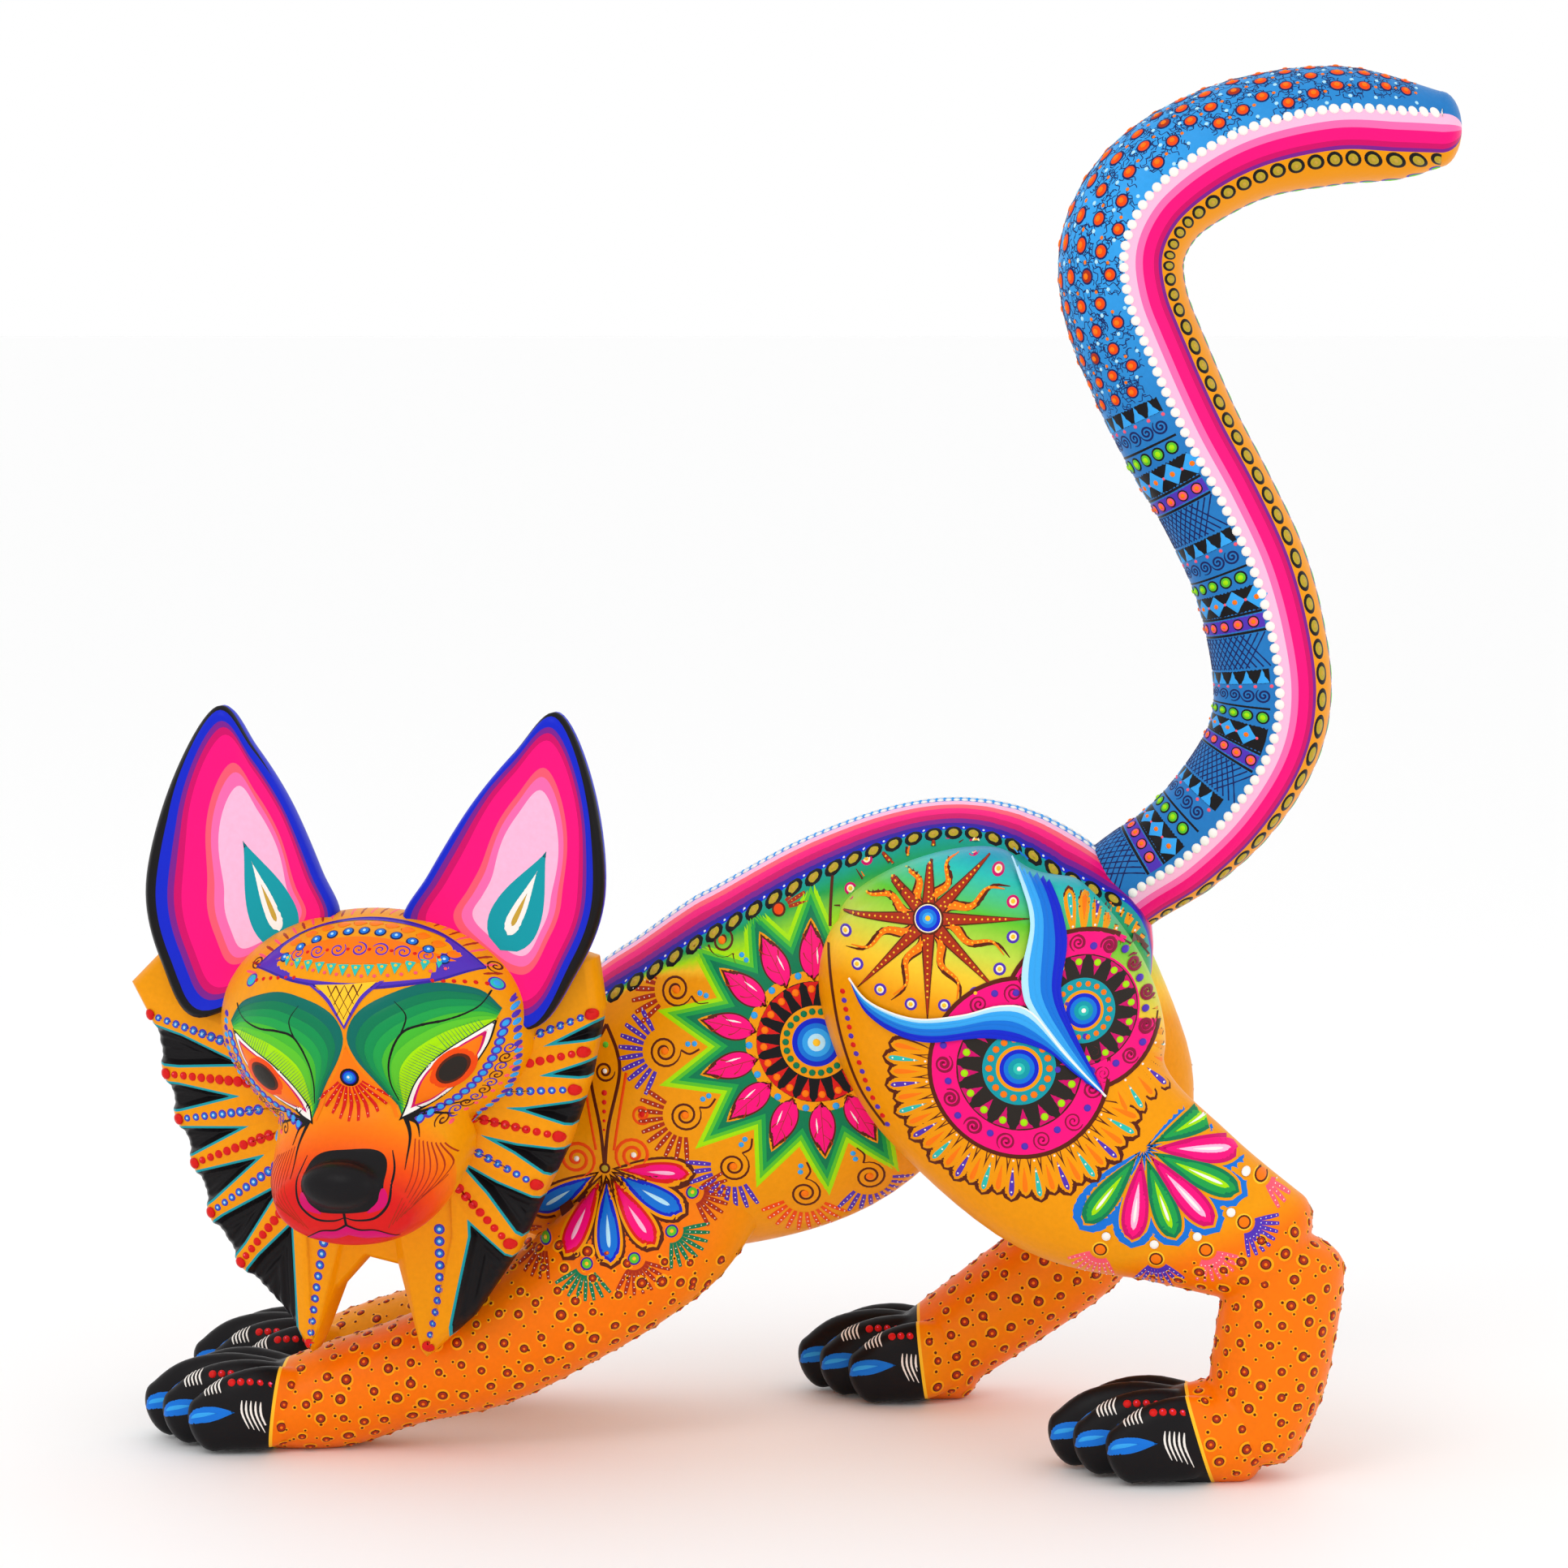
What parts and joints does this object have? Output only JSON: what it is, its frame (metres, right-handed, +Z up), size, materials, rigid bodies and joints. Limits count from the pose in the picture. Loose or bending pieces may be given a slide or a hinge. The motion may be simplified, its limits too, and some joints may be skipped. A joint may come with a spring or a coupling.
{
  "type": "alebrije figure",
  "caption": "Carved and painted wooden wildcat in a stretching crouch, with a mane, upright ears and a raised S-shaped tail that plug in.",
  "frame": {"origin": "on the floor, under the middle of the figure's bounding box", "axes": "+Z up; the body runs along X with the head at -X and the tail at +X; the face looks towards -Y"},
  "size_m": [0.3716, 0.1615, 0.3881],
  "materials": {
    "painted_body": "hand-painted acrylic on copal, satin",
    "painted_leg": "hand-painted acrylic on copal with raised dots, satin",
    "painted_mane": "hand-painted acrylic on carved ridges, satin",
    "painted_head": "hand-painted acrylic, satin, gloss on the nose and eyes",
    "painted_ear": "hand-painted acrylic in smooth nested bands, satin",
    "painted_tail": "hand-painted acrylic with raised dots, satin",
    "bare_wood": "unpainted copal dowel"
  },
  "bodies": {
    "figure": {"torso": "painted_body", "mane": "painted_mane", "head": "painted_head", "left_hind_leg": "painted_leg", "right_hind_leg": "painted_leg", "left_fore_leg": "painted_leg", "right_fore_leg": "painted_leg", "left_hind_leg_dowel_1": "bare_wood", "left_hind_leg_dowel_2": "bare_wood", "right_hind_leg_dowel_1": "bare_wood", "right_hind_leg_dowel_2": "bare_wood", "left_fore_leg_dowel_1": "bare_wood", "right_fore_leg_dowel_1": "bare_wood", "neck_dowel_1": "bare_wood", "neck_dowel_2": "bare_wood"},
    "tail": {"tail": "painted_tail"},
    "left_ear": {"left_ear": "painted_ear"},
    "right_ear": {"right_ear": "painted_ear"}
  },
  "joints": [
    {"name": "tail_pull", "type": "slide", "parent": "figure", "child": "tail", "axis": [0.766, 0, 0.6428], "range_m": [0, 0.045]},
    {"name": "left_ear_pull", "type": "slide", "parent": "figure", "child": "left_ear", "axis": [0.6128, -0.1081, 0.7828], "range_m": [0, 0.025]},
    {"name": "right_ear_pull", "type": "slide", "parent": "figure", "child": "right_ear", "axis": [-0.6128, 0.1081, 0.7828], "range_m": [0, 0.025]}
  ]
}
